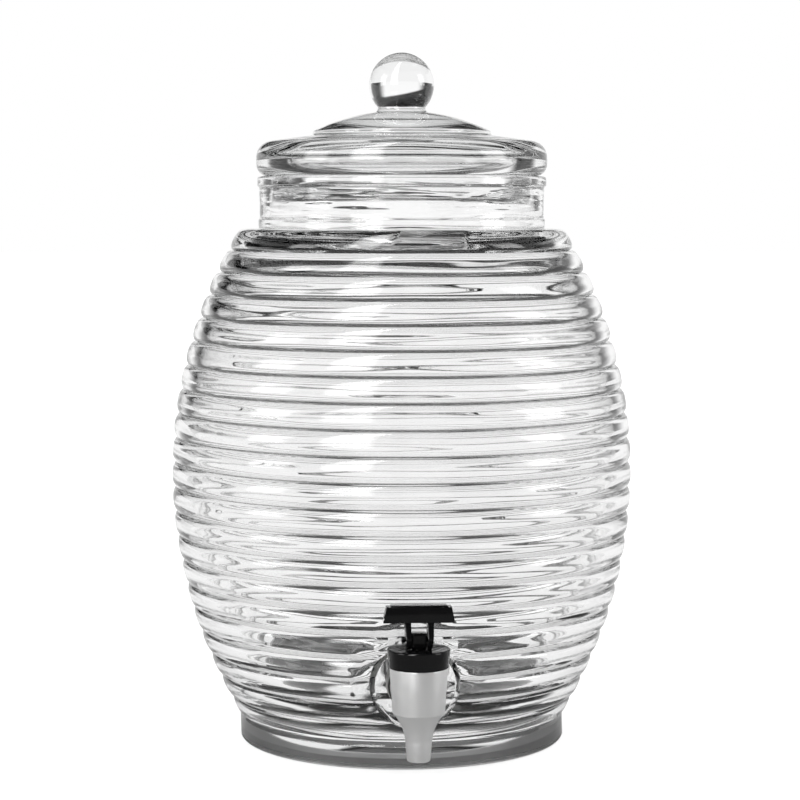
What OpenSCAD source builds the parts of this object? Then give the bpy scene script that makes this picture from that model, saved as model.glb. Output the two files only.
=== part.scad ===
// Ribbed glass beverage dispenser: a barrel-shaped jar with a loose glass lid and a lever tap.
// Origin: centre of the jar's base on the table. +Z is up, and the tap points along -Y.

/* [Jar] */
// Radius over the ribs at the belly
belly_r = 130; // [118:1:145]
// Radius of the barrel's arc, seen from the side
barrel_arc_r = 258; // [230:1:330]
// Number of ribs from the foot to the shoulder
rib_count = 21; // [17:1:23]
// Distance from rib to rib along the barrel's arc
rib_pitch = 13.5; // [12:0.1:15]
// Depth of the grooves between the ribs
rib_depth = 4; // [3:0.1:5]
// Glass thickness in the grooves between ribs
wall = 4.5; // [3.5:0.1:6]
// How far the foot stands out past the lowest rib's centre
foot_out = 4.2; // [1:0.1:7]
// Height of the foot under the lowest rib
foot_h = 14.2; // [11:0.2:18]
// Rounding under the foot
foot_round = 3; // [1:0.5:5]
// How far the foot draws in under the lowest rib
foot_draft = 1.5; // [0.5:0.1:3]
// Thickness of the glass floor
floor_t = 13; // [9:0.5:16]

/* [Neck] */
// Outer radius of the neck
neck_r = 80; // [74:0.5:84]
// Height of the neck above the shoulder
neck_h = 30; // [26:0.5:40]
// Glass thickness of the neck
neck_wall = 6; // [4.5:0.1:7]
// Glass thickness of the shoulder
shoulder_t = 5; // [4:0.1:7]
// How far the rim bead stands out from the neck
bead_proud = 1.3; // [0.8:0.1:2]
// Height of the rim bead
bead_h = 5; // [4:0.1:7]
// Rounding of the rim bead
bead_round = 1; // [0.5:0.1:1.5]
// How far the ring at the neck's root stands out
root_proud = 0.7; // [0.4:0.1:1.2]
// Height of the ring at the neck's root
root_h = 6; // [4:0.1:8]

/* [Lid] */
// How far the lid's rim reaches past the neck
lid_overhang = 1.8; // [0.5:0.1:4]
// Height of the lid's rim
lid_rim_h = 18; // [15:0.5:22]
// Rounding of the rim's lower edge
lid_low_round = 5; // [3:0.1:6]
// Rounding of the rim's upper edge
lid_top_round = 7; // [4:0.1:8]
// Rise of the lid's top from the rim to the dome
lid_slope = 5; // [3:0.1:7]
// Radius of the domed centre of the lid
dome_r = 50; // [44:0.5:56]
// Height of the step round the dome
dome_step = 2.4; // [1.8:0.1:4]
// Rounding of the step round the dome
dome_round = 1.2; // [0.6:0.1:1.6]
// Height of the dome above its step
dome_h = 11.5; // [9:0.5:14]
// Depth of the plug that drops into the neck
plug_h = 14; // [10:0.5:18]
// Glass thickness of the plug
plug_wall = 7; // [5:0.5:9]
// How much the plug narrows to its lower end
plug_taper = 1; // [0.5:0.1:2]
// Rounding of the plug's lower end
plug_round = 2; // [1:0.1:2.4]
// Glass thickness of the lid's plate
plate_t = 7; // [5:0.5:9]
// How far the plate's underside rises under the dome
under_rise = 5; // [2:0.5:8]
// Radial clearance between the plug and the neck
lid_clearance = 1.2; // [0.6:0.1:2]
// Radius of the ball knob
knob_r = 18.2; // [15:0.2:21]
// Radius of the knob's stem
knob_stem_r = 13.4; // [10:0.2:14.2]
// Rounding between the knob's stem and the dome
knob_fillet = 2.6; // [2:0.1:5]
// Straight length of the knob's stem
knob_stem_h = 0.4; // [0.2:0.1:4]

/* [Boss on the glass] */
// Height of the tap's hole above the table
tap_z = 50; // [46:0.5:56]
// Radius of the flat boss round the tap
boss_r = 24; // [21:0.5:26]
// How far the boss stands out past the ribs at its middle
boss_proud = 2.5; // [1:0.1:4]
// Rounding of the boss's edge
boss_edge = 4.5; // [2:0.1:5]
// Flare of the scoop that clears the ribs round the boss, in degrees
recess_flare = 50; // [30:1:60]
// Margin of the flat inner seat round the lock nut
seat_margin = 3; // [2:0.1:5]
// How far the inner seat stands in from the wall
seat_proud = 1; // [0.5:0.1:2]

/* [Tap body] */
// Bore radius of the valve chamber in the barrel
chamber_r = 11; // [10.4:0.1:12]
// Wall of the barrel at its top
barrel_wall = 4.1; // [3:0.1:6]
// How much the barrel narrows to its lower edge
barrel_draft = 1.5; // [0.5:0.1:2]
// Wall of the threaded collar under the bonnet
collar_wall = 2.4; // [1.6:0.1:2.8]
// Height of the barrel above the shank's axis
barrel_up = 14.8; // [13:0.1:18]
// Height of the barrel below the shank's axis
barrel_down = 8.8; // [8:0.1:11]
// Length of the funnel and nozzle under the barrel
spout_h = 25.4; // [22:0.2:32]
// Radius of the funnel's hollow curve
funnel_r = 25; // [20:0.5:30]
// Bore radius of the outlet
outlet_r = 4.6; // [4:0.1:5.2]
// Wall of the nozzle at its tip
tip_wall = 1.4; // [1:0.1:2]
// How much the nozzle widens from its tip up to the funnel
tip_flare = 0.8; // [0.4:0.1:1.2]
// Rounding of the nozzle's tip
tip_round = 0.8; // [0.3:0.1:0.9]
// Height of the conical valve seat over the outlet
valve_seat_h = 5; // [4:0.1:6]
// Distance from the boss's face to the barrel's axis
tap_reach = 24; // [23:0.5:30]
// Bore radius of the shank
inlet_r = 5.5; // [4.5:0.1:6]
// Wall of the threaded shank
shank_wall = 2.5; // [2:0.1:3.5]
// Wall of the throat between the flange and the barrel
throat_wall = 4; // [3:0.1:5]
// Thickness of the flange behind the barrel
flange_t = 3.5; // [2.5:0.1:5]
// How far the flange stands out from the shank
flange_w = 5.5; // [4:0.1:7]

/* [Seals and nut] */
// Width of the outer gasket's ring
gasket_w = 6.5; // [5:0.1:8]
// Thickness of each gasket
gasket_t = 2.5; // [1.5:0.1:3.5]
// Wall of the lock nut at its flats
nut_wall = 4.9; // [3.5:0.1:6]
// Thickness of the lock nut
nut_t = 8; // [6:0.5:10]
// Length of shank left past the lock nut
shank_spare = 3; // [1:0.5:8]
// Clearance round the shank in the glass, and between moving parts
fit_gap = 0.3; // [0.2:0.05:0.5]
// Clearance in the threads, which are drawn as plain cylinders
thread_gap = 0.1; // [0.05:0.01:0.2]

/* [Bonnet, stem and seat cup] */
// Wall of the bonnet at its top edge
bonnet_wall = 2.9; // [2:0.1:4]
// How much the bonnet narrows to its lower edge
bonnet_draft = 0.9; // [0.3:0.1:1.2]
// Height of the bonnet
bonnet_h = 9.8; // [9:0.1:13]
// Thickness of the bonnet's top plate
bonnet_top_t = 2.6; // [2:0.1:3.5]
// Rounding of the bonnet's top edge
bonnet_edge = 0.7; // [0.3:0.1:1.2]
// Radius of the stem's round shaft
stem_r = 3.6; // [3:0.1:4]
// How far the stem's head stands out past its shaft
stem_head_step = 0.3; // [0.2:0.1:0.8]
// Height of the stem's head above the pivot
stem_head_up = 3.6; // [2.6:0.1:4.5]
// How far the button at the stem's lower end stands out
button_w = 1.4; // [0.8:0.1:2]
// Thickness of the button
button_t = 3; // [2:0.1:4]
// Thickness of the seat cup's clamped lip
lip_t = 1.2; // [0.8:0.1:1.6]
// Thickness of the seat cup's bell
bell_t = 1.2; // [0.8:0.1:1.6]
// Thickness of the seat cup round the button
cup_wall = 2.2; // [1.5:0.1:2.6]
// Depth of the seat cup's nib in the outlet
nib_h = 1.5; // [0.8:0.1:3]
// Clearance round the seat cup, at the button and at the valve seat
cup_gap = 0.1; // [0.05:0.01:0.2]

/* [Lever] */
// Height of the pivot above the bonnet
pivot_h = 4.6; // [4.2:0.1:5.5]
// Radius of the pivot pin
pin_r = 1.2; // [1:0.05:1.5]
// How far the pin's head stands out past its shaft
pin_head_w = 0.3; // [0.2:0.05:0.6]
// Length of the pin's head outside the leg
pin_head_l = 1.8; // [1.2:0.1:2.5]
// Running clearance round the pin in the stem
pin_gap = 0.06; // [0.03:0.01:0.1]
// Width of the grip at its lower edge
grip_w = 36.8; // [32:0.2:42]
// Height of the grip
grip_h = 8.6; // [7:0.1:10]
// Depth of the grip, front to back
grip_d = 9; // [8:0.1:11]
// Height of the grip's underside above the pivot
grip_up = 9.2; // [8.6:0.1:12]
// How much the grip narrows at each end to its top
grip_taper = 1.6; // [0.5:0.1:3]
// Height of the raised strip on the grip
strip_h = 0.7; // [0.3:0.1:1.2]
// Distance of the raised strip from the grip's upper corners
strip_inset = 2; // [1:0.1:4]
// Thickness of a leg at the grip
leg_t = 3.5; // [2.8:0.1:4.5]
// Thickness of a leg at the bonnet
leg_low_t = 2.7; // [2:0.1:3.5]
// Depth of a leg at the grip, front to back
leg_d = 6; // [5:0.1:8]
// Reach of a leg's heel behind the pivot
heel_reach = 6.5; // [5:0.1:8]
// Rounding of a leg's heel
heel_round = 2; // [1:0.1:3]
// Tilt of the lever when the tap is fully open, in degrees
open_tilt = 80; // [60:1:85]
// Lift of the stem when the tap is fully open
open_lift = 4.6; // [3.5:0.1:5]

/* [Hidden] */
$fn = 128;

clear_glass = [0.86, 0.9, 0.9, 0.45];
satin_silver = [0.72, 0.72, 0.71];
gloss_black = [0.05, 0.05, 0.05];
black_rubber = [0.09, 0.09, 0.09];
white_silicone = [0.88, 0.88, 0.86];

// Reach of a cutting shape past the surface that it cuts.
cut_over = 1;

// Barrel: the rib centres lie on one arc, evenly spaced, and the ribs' round backs meet in the grooves.
rib_r = (rib_pitch * rib_pitch / 4 + rib_depth * rib_depth) / (2 * rib_depth);
rib_step = rib_pitch / barrel_arc_r * 180 / PI;
rib_end = rib_step * (rib_count - 1) / 2;
rib_rise = barrel_arc_r * sin(rib_end);
belly_z = foot_h + rib_r + rib_rise;
arc_x = belly_r - rib_r - barrel_arc_r;
groove_arc_r = barrel_arc_r + rib_r - rib_depth;
core_arc_r = (barrel_arc_r + groove_arc_r) / 2;
inner_arc_r = groove_arc_r - wall;
end_rib_x = arc_x + barrel_arc_r * cos(rib_end);
foot_r = end_rib_x + foot_out;

// Shoulder, neck and rim.
shoulder_z = belly_z + rib_rise + rib_r;
rim_z = shoulder_z + neck_h;
neck_bore_r = neck_r - neck_wall;

// Lid.
lid_r = neck_r + lid_overhang;
lid_top_z = rim_z + lid_rim_h;
plug_r = neck_bore_r - lid_clearance;
dome_z = lid_top_z + lid_slope;
dome_top_z = dome_z + dome_step + dome_h;
dome_sphere_r = (dome_r * dome_r + dome_h * dome_h) / (2 * dome_h);
knob_foot_r = knob_stem_r + knob_fillet;
knob_foot_z = dome_height(knob_foot_r);
knob_stem_z = knob_foot_z + knob_fillet + knob_stem_h;
knob_z = knob_stem_z + sqrt(knob_r * knob_r - knob_stem_r * knob_stem_r);

// Tap, measured from the jar's axis: the boss's face, the inner seat and the barrel's axis.
tap_drop = tap_z - belly_z;
boss_y = belly_r - barrel_arc_r + sqrt(barrel_arc_r * barrel_arc_r - tap_drop * tap_drop) + boss_proud;
seat_y = arc_x + sqrt(inner_arc_r * inner_arc_r - tap_drop * tap_drop) - seat_proud;
boss_depth = boss_y - seat_y;
boss_sink = 0.75 * boss_r;
tap_y = boss_y + tap_reach;

// Tap body, gaskets and nut.
shank_r = inlet_r + shank_wall;
nut_bore_r = shank_r + thread_gap;
nut_corner_r = (nut_bore_r + nut_wall) / cos(30);
seat_r = nut_corner_r + seat_margin;
barrel_r = chamber_r + barrel_wall;
barrel_low_r = barrel_r - barrel_draft;
collar_r = chamber_r + collar_wall;
tip_r = outlet_r + tip_wall;
barrel_top_z = tap_z + barrel_up;
barrel_low_z = tap_z - barrel_down;
tip_z = barrel_low_z - spout_h;
valve_seat_slope = (chamber_r - outlet_r) / valve_seat_h;

// Bonnet, stem and seat cup.
bonnet_z = barrel_top_z + bonnet_h;
plate_z = bonnet_z - bonnet_top_t;
collar_top_z = plate_z - lip_t;
bonnet_bore_r = collar_r + thread_gap;
bonnet_r = bonnet_bore_r + bonnet_wall;
pivot_z = bonnet_z + pivot_h;
stem_head_w = 2 * (stem_r + stem_head_step);
stem_low_z = barrel_low_z + valve_seat_h;
button_r = stem_r + button_w;

// Lever: the cam under each leg is an involute, so the stem rises evenly with the tilt.
cam_h = pivot_h - fit_gap;
cam_rate = open_lift / (open_tilt * PI / 180);
cam_steps = 10;
leg_gap_w = stem_head_w + 2 * fit_gap;
legs_w = leg_gap_w + 2 * leg_t;
legs_low_w = leg_gap_w + 2 * leg_low_t;
leg_h = pivot_h + grip_up;
pin_head_r = pin_r + pin_head_w;

// Points along a circular arc in a section, from angle a0 to a1.
function arc(c, r, a0, a1, n = 8) =
    [for (i = [0 : n]) let (a = a0 + (a1 - a0) * i / n) [c[0] + r * cos(a), c[1] + r * sin(a)]];

// Centre of rib i in the jar's section, counted from the foot.
function rib_centre(i) =
    let (a = -rib_end + i * rib_step) [arc_x + barrel_arc_r * cos(a), belly_z + barrel_arc_r * sin(a)];

// Height of the lid's dome at radius x.
function dome_height(x) = dome_top_z - dome_sphere_r + sqrt(dome_sphere_r * dome_sphere_r - x * x);

// Half the width over the lever's legs at height h above the bonnet.
function leg_half_w(h) = (legs_low_w + (legs_w - legs_low_w) * h / leg_h) / 2;

// Point of the lever's cam that faces the bonnet at tilt a, as [forward, up] from the pivot.
function cam_point(a) =
    let (reach = cam_h + cam_rate * a * PI / 180)
    [reach * sin(a) + cam_rate * cos(a), -reach * cos(a) + cam_rate * sin(a)];

// Frame on the boss's face, local Z pointing out of the jar.
module at_boss(z = 0) {
    translate([0, -boss_y - z, tap_z]) rotate([90, 0, 0]) children();
}

// Frame on the tap barrel's axis, at table height.
module at_tap() {
    translate([0, -tap_y, 0]) children();
}

// Frame on the lever's pivot, local Z along +X.
module at_pivot() {
    translate([0, -tap_y, pivot_z]) rotate([0, 90, 0]) children();
}

// Half section of the jar's outside.
module jar_outside() {
    for (i = [0 : rib_count - 1]) translate(rib_centre(i)) circle(rib_r);
    intersection() {
        translate([arc_x, belly_z]) circle(core_arc_r);
        translate([0, foot_h]) square([belly_r, shoulder_z - rib_depth - foot_h]);
    }
    foot_section();
    translate([0, shoulder_z - rib_r]) square([end_rib_x, rib_r]);
    neck_section();
}

// Half section of the foot, from the table to inside the lowest rib.
module foot_section() {
    polygon(concat(
        [[0, 0]],
        arc([foot_r - foot_round, foot_round], foot_round, -90, 0),
        [[foot_r, foot_h * 2 / 3], [foot_r - foot_draft, foot_h + rib_depth / 2], [0, foot_h + rib_depth / 2]]));
}

// Half section of the neck with its rim bead and the ring at its root.
module neck_section() {
    bead_r = neck_r + bead_proud;
    root_r = neck_r + root_proud;
    polygon(concat(
        [[0, shoulder_z - rib_r], [root_r, shoulder_z - rib_r], [root_r, shoulder_z + root_h],
         [neck_r, shoulder_z + root_h + root_proud], [neck_r, rim_z - bead_h - bead_proud],
         [bead_r, rim_z - bead_h]],
        arc([bead_r - bead_round, rim_z - bead_round], bead_round, 0, 90, 4),
        [[0, rim_z]]));
}

// Half section of the space inside the jar.
module jar_inside() {
    inside_top_z = shoulder_z - shoulder_t;
    intersection() {
        translate([arc_x, belly_z]) circle(inner_arc_r);
        translate([0, floor_t]) square([belly_r, inside_top_z - floor_t]);
    }
    translate([0, inside_top_z - cut_over]) square([neck_bore_r, neck_h + shoulder_t + 2 * cut_over]);
}

// Boss that carries the tap, with a rounded edge and a root that reaches through the wall.
module tap_boss() {
    root_z = -boss_depth - boss_sink;
    at_boss() rotate_extrude() polygon(concat(
        [[0, root_z], [boss_r, root_z]],
        arc([boss_r - boss_edge, -boss_edge], boss_edge, 0, 90, 6),
        [[0, 0]]));
}

// Flared scoop that clears the ribs in front of the boss.
module tap_recess() {
    at_boss() cylinder(h = boss_r, r1 = boss_r, r2 = boss_r * (1 + tan(recess_flare)));
}

module glass_jar() {
    color(clear_glass) difference() {
        union() {
            rotate_extrude() jar_outside();
            tap_boss();
        }
        tap_recess();
        difference() {
            rotate_extrude() jar_inside();
            at_boss(-boss_depth) cylinder(h = boss_depth, r = seat_r);
        }
        at_boss(-boss_depth - 2 * boss_sink) cylinder(h = 2 * boss_sink, r = seat_r);
        at_boss(-boss_depth - boss_sink) cylinder(h = boss_depth + 2 * boss_sink, r = shank_r + fit_gap);
    }
}

// Half section of the lid: plug, rim, sloping top, dome and ball knob in one piece of glass.
module lid_section() {
    plug_low_z = rim_z - plug_h;
    plug_low_r = plug_r - plug_taper;
    dome_steps = 9;
    polygon(concat(
        [[0, dome_z - plate_t + under_rise], [dome_r, dome_z - plate_t], [plug_r - plug_wall, lid_top_z - plate_t],
         [plug_low_r - plug_wall + plug_round, plug_low_z]],
        arc([plug_low_r - plug_round, plug_low_z + plug_round], plug_round, -90, 0, 4),
        [[plug_r, rim_z]],
        arc([lid_r - lid_low_round, rim_z + lid_low_round], lid_low_round, -90, 0),
        arc([lid_r - lid_top_round, lid_top_z - lid_top_round], lid_top_round, 0, 80),
        [[dome_r, dome_z]],
        arc([dome_r - dome_round, dome_z + dome_step - dome_round], dome_round, 0, 80, 4),
        [for (k = [1 : dome_steps - 1])
            let (x = dome_r + (knob_foot_r - dome_r) * k / dome_steps) [x, dome_height(x)]],
        arc([knob_foot_r, knob_foot_z + knob_fillet], knob_fillet, -90, -180, 6),
        arc([0, knob_z], knob_r, -acos(knob_stem_r / knob_r), 90, 24)));
}

module glass_lid() {
    color(clear_glass) rotate_extrude() lid_section();
}

// Half section of the tap body's outside: nozzle, funnel, barrel and the collar under the bonnet.
module tap_outside() {
    waist_r = tip_r + tip_flare;
    run_in = funnel_r - (barrel_low_r - waist_r);
    funnel_end = acos(run_in / funnel_r);
    polygon(concat(
        [[0, tip_z]],
        arc([tip_r - tip_round, tip_z + tip_round], tip_round, -90, 0, 4),
        arc([waist_r + funnel_r, barrel_low_z - funnel_r * sin(funnel_end)], funnel_r, 180, 180 - funnel_end, 10),
        [[barrel_r, barrel_top_z], [collar_r, barrel_top_z], [collar_r, collar_top_z], [0, collar_top_z]]));
}

// Half section of the drink's way through the barrel and the nozzle.
module tap_bore() {
    top_z = collar_top_z + cut_over;
    polygon([[0, tip_z - cut_over], [outlet_r, tip_z - cut_over], [outlet_r, barrel_low_z],
             [chamber_r, barrel_low_z + valve_seat_h], [chamber_r, top_z], [0, top_z]]);
}

module tap_body() {
    shank_end = boss_depth + gasket_t + nut_t + shank_spare;
    color(satin_silver) difference() {
        union() {
            at_tap() rotate_extrude() tap_outside();
            at_boss(gasket_t) cylinder(h = flange_t, r = shank_r + flange_w);
            at_boss(gasket_t) cylinder(h = tap_reach - gasket_t, r = inlet_r + throat_wall);
            at_boss(-shank_end) cylinder(h = shank_end + gasket_t + flange_t, r = shank_r);
        }
        at_tap() rotate_extrude() tap_bore();
        at_boss(-shank_end - cut_over) cylinder(h = shank_end + tap_reach + cut_over, r = inlet_r);
    }
}

// Flat ring of radius r on the shank, with its outer face at height z over the boss's face.
module shank_ring(z, r) {
    at_boss(z - gasket_t) difference() {
        cylinder(h = gasket_t, r = r);
        translate([0, 0, -cut_over]) cylinder(h = gasket_t + 2 * cut_over, r = shank_r + thread_gap);
    }
}

module outer_gasket() {
    color(black_rubber) shank_ring(gasket_t, shank_r + gasket_w);
}

module inner_gasket() {
    color(white_silicone) shank_ring(-boss_depth, nut_corner_r);
}

module lock_nut() {
    chamfer_r = (nut_bore_r + nut_wall + nut_corner_r) / 2;
    color(gloss_black) at_boss(-boss_depth - gasket_t - nut_t) difference() {
        intersection() {
            cylinder(h = nut_t, r = nut_corner_r, $fn = 6);
            cylinder(h = nut_t, r1 = chamfer_r, r2 = chamfer_r + nut_t);
        }
        translate([0, 0, -cut_over]) cylinder(h = nut_t + 2 * cut_over, r = nut_bore_r);
    }
}

module bonnet() {
    hole_r = stem_r + fit_gap;
    color(gloss_black) at_tap() rotate_extrude() polygon(concat(
        [[hole_r, plate_z], [bonnet_bore_r, plate_z], [bonnet_bore_r, barrel_top_z],
         [bonnet_r - bonnet_draft, barrel_top_z]],
        arc([bonnet_r - bonnet_edge, bonnet_z - bonnet_edge], bonnet_edge, 0, 90, 4),
        [[hole_r, bonnet_z]]));
}

// Stem: a head between the lever's legs, a round shaft through the bonnet and a button in the seat cup.
module valve_stem() {
    head_z = bonnet_z + fit_gap;
    color(gloss_black) difference() {
        at_tap() union() {
            translate([0, 0, stem_low_z]) cylinder(h = pivot_z - stem_low_z, r = stem_r);
            translate([0, 0, stem_low_z]) cylinder(h = button_t, r = button_r);
            translate([-stem_head_w / 2, -stem_head_w / 2, head_z])
                cube([stem_head_w, stem_head_w, pivot_z + stem_head_up - head_z]);
        }
        at_pivot() translate([0, 0, -stem_head_w]) cylinder(h = 2 * stem_head_w, r = pin_r + pin_gap);
    }
}

// Seat cup: a plug that closes the outlet, a bell round the stem and a lip clamped under the bonnet.
module seat_cup() {
    socket_r = button_r + cup_gap;
    plug_r = socket_r + cup_wall;
    plug_top_z = barrel_low_z + (plug_r + cup_gap - outlet_r) / valve_seat_slope;
    neck_r = stem_r + cup_gap;
    neck_z = stem_low_z + button_t + cup_gap;
    mouth_z = neck_z + cup_wall;
    bell_r = chamber_r - fit_gap;
    color(white_silicone) at_tap() rotate_extrude() polygon([
        [0, barrel_low_z - nib_h], [outlet_r - 2 * fit_gap, barrel_low_z - nib_h],
        [outlet_r - cup_gap, barrel_low_z], [plug_r, plug_top_z], [plug_r, mouth_z - bell_t],
        [bell_r, barrel_top_z], [bell_r, collar_top_z], [collar_r, collar_top_z], [collar_r, plate_z],
        [bell_r - bell_t, plate_z], [bell_r - bell_t, barrel_top_z], [plug_r - bell_t, mouth_z],
        [neck_r, mouth_z], [neck_r, neck_z], [socket_r, neck_z], [socket_r, stem_low_z], [0, stem_low_z]]);
}

// Side view of the lever's legs, as [forward, up] from the pivot.
module leg_side() {
    top = grip_up + strip_h;
    polygon(concat(
        [[-leg_d / 2, top], [-heel_reach, 0]],
        arc([-heel_reach + heel_round, -cam_h + heel_round], heel_round, 180, 270, 5),
        [for (i = [0 : cam_steps]) cam_point(open_tilt * i / cam_steps)],
        [[leg_d / 2, top]]));
}

// Front view of the legs as one block, from the bonnet up into the grip.
module leg_front() {
    top = grip_up + strip_h;
    polygon([[-leg_half_w(0), -pivot_h], [leg_half_w(0), -pivot_h], [leg_half_w(leg_h), grip_up],
             [leg_half_w(leg_h), top], [-leg_half_w(leg_h), top], [-leg_half_w(leg_h), grip_up]]);
}

// Front view of the grip, from its underside up.
module grip_front() {
    low_x = grip_w / 2;
    top_x = low_x - grip_taper;
    strip_x = top_x - strip_inset;
    edge_h = grip_h - strip_h;
    polygon([[-low_x, 0], [low_x, 0], [top_x, edge_h], [strip_x, edge_h], [strip_x - strip_h, grip_h],
             [strip_h - strip_x, grip_h], [-strip_x, edge_h], [-top_x, edge_h]]);
}

module tap_lever() {
    color(gloss_black) difference() {
        translate([0, -tap_y, pivot_z]) union() {
            intersection() {
                rotate([90, 0, -90]) linear_extrude(legs_w, center = true) leg_side();
                rotate([90, 0, 0]) linear_extrude(4 * grip_d, center = true) leg_front();
            }
            translate([0, 0, grip_up]) rotate([90, 0, 0]) linear_extrude(grip_d, center = true) grip_front();
        }
        translate([-leg_gap_w / 2, -tap_y - 2 * grip_d, bonnet_z]) cube([leg_gap_w, 4 * grip_d, leg_h]);
        at_pivot() translate([0, 0, -legs_w]) cylinder(h = 2 * legs_w, r = pin_r);
    }
}

// Pin through both legs and the stem, with its head outside the leg on the -X side.
module pivot_pin() {
    head_x = leg_half_w(pivot_h + pin_head_r);
    color(gloss_black) at_pivot() {
        translate([0, 0, -head_x]) cylinder(h = head_x + leg_half_w(pivot_h), r = pin_r);
        translate([0, 0, -head_x - pin_head_l]) cylinder(h = pin_head_l, r = pin_head_r);
    }
}

glass_jar();
glass_lid();
tap_body();
outer_gasket();
inner_gasket();
lock_nut();
bonnet();
valve_stem();
seat_cup();
tap_lever();
pivot_pin();
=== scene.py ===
# Ribbed glass drink dispenser with a loose glass lid and a lever tap.
# Every piece is in metres, in the CAD part's frame: the jar stands on z = 0 and the tap points along -Y.

import math

import bpy
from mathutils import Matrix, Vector, noise


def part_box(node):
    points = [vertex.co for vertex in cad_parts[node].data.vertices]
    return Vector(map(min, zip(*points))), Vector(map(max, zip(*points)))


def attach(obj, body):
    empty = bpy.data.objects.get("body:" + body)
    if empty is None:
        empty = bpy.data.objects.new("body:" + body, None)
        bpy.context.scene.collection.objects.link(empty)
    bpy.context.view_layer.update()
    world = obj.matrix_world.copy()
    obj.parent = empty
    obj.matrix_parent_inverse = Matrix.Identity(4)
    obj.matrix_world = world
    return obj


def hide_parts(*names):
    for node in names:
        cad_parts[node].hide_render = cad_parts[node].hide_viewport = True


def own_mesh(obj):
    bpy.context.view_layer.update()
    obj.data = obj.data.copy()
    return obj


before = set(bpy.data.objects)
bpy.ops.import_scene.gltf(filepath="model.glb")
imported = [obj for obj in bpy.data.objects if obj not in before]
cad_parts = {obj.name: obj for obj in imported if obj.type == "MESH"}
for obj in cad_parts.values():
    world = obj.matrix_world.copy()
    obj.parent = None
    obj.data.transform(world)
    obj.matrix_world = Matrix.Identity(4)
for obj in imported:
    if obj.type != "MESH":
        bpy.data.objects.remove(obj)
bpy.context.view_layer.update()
bpy.ops.object.select_all(action="DESELECT")

MM = 0.001

# Points this close are merged, edges below this angle are shaded smooth, pieces that fit together have this
# much room, and tools reach this far past what they cut.
JOIN = MM / 1000
SMOOTH_ANGLE = math.radians(40)
FIT = 0.1 * MM
OVER = 1 * MM

# Boxes of the CAD nodes that set the sizes below.
_, jar_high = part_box("glass_jar")
lid_low, lid_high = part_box("glass_lid")
tap_low, tap_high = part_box("tap_body")
bonnet_low, bonnet_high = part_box("bonnet")
nut_low, nut_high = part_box("lock_nut")
outer_low, outer_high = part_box("outer_gasket")
inner_low, inner_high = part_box("inner_gasket")
stem_low, stem_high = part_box("valve_stem")
cup_low, cup_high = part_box("seat_cup")
lever_low, lever_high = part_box("tap_lever")
pin_low, pin_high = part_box("pivot_pin")

# Barrel of the jar: rib centres on one arc, evenly spaced.
BELLY_R = jar_high.x
RIM_Z = jar_high.z
RIB_COUNT = 21
RIB_PITCH = 13.5 * MM
RIB_DEPTH = 4 * MM
BARREL_ARC_R = 258 * MM
WALL = 4.5 * MM
RIB_R = (RIB_PITCH ** 2 / 4 + RIB_DEPTH ** 2) / (2 * RIB_DEPTH)
RIB_STEP = RIB_PITCH / BARREL_ARC_R
RIB_END = RIB_STEP * (RIB_COUNT - 1) / 2
FOOT_H = 14.2 * MM
FOOT_OUT = 4.2 * MM
BELLY_Z = FOOT_H + RIB_R + BARREL_ARC_R * math.sin(RIB_END)
ARC_X = BELLY_R - RIB_R - BARREL_ARC_R
GROOVE_ARC_R = BARREL_ARC_R + RIB_R - RIB_DEPTH
INNER_ARC_R = GROOVE_ARC_R - WALL
END_RIB_X = ARC_X + BARREL_ARC_R * math.cos(RIB_END)
FOOT_R = END_RIB_X + FOOT_OUT
FLOOR_Z = 13 * MM

# Neck of the jar.
NECK_H = 30 * MM
SHOULDER_Z = RIM_Z - NECK_H
NECK_R = 80 * MM
NECK_BORE_R = 74 * MM
BEAD_R = NECK_R + 1.3 * MM
ROOT_R = NECK_R + 0.7 * MM

# Tap: its axis, the boss on the glass, the seat inside the jar and how far the valve moves.
TAP_Y = (bonnet_low.y + bonnet_high.y) / 2
TAP_Z = (outer_low.z + outer_high.z) / 2
BOSS_Y = -outer_high.y
BOSS_R = 24 * MM
SEAT_Y = -inner_low.y
SEAT_R = 18 * MM
SHANK_R = 8 * MM
SHANK_HOLE_R = 8.3 * MM
BONNET_Z = bonnet_high.z
PIVOT_Z = (pin_low.z + pin_high.z) / 2
PIN_R = 1.2 * MM
STEM_LIFT = 4.6 * MM
LEVER_TILT_DEGREES = 80


# Modelling helpers

def held(value):
    """The value, held between 0 and 1."""
    return min(1, max(0, value))


def soft_max(a, b, soft):
    """The larger of two values, with a rounded change from one to the other."""
    return (a + b + math.hypot(a - b, soft)) / 2


def arc(centre, radius, start, end, steps):
    """Points along a circular arc in a section, from one angle to the other in degrees."""
    turns = [math.radians(start + (end - start) * k / steps) for k in range(steps + 1)]
    return [(centre[0] + radius * math.cos(t), centre[1] + radius * math.sin(t)) for t in turns]


def rounded(corners, steps=6):
    """An outline from (x, z, radius) corners, with an arc of that radius at each corner."""
    points = []
    for k, (x, z, radius) in enumerate(corners):
        if radius == 0:
            points.append((x, z))
            continue
        here = Vector((x, z))
        back = (Vector(corners[k - 1][:2]) - here).normalized()
        ahead = (Vector(corners[(k + 1) % len(corners)][:2]) - here).normalized()
        half = back.angle(ahead) / 2
        centre = here + (back + ahead).normalized() * (radius / math.sin(half))
        start = here + back * (radius / math.tan(half)) - centre
        sweep = (here + ahead * (radius / math.tan(half)) - centre).angle_signed(start)
        turn = math.atan2(start.y, start.x)
        points += [(centre.x + radius * math.cos(turn + sweep * j / steps),
                    centre.y + radius * math.sin(turn + sweep * j / steps)) for j in range(steps + 1)]
    return points


def ring(corners):
    """Closed section of a ring, with its corners rounded."""
    outline = rounded(corners)
    return outline + outline[:1]


def plain_rod(radius, start, end):
    """Section of a plain round rod."""
    return [(0, start), (radius, start), (radius, end), (0, end)]


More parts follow.
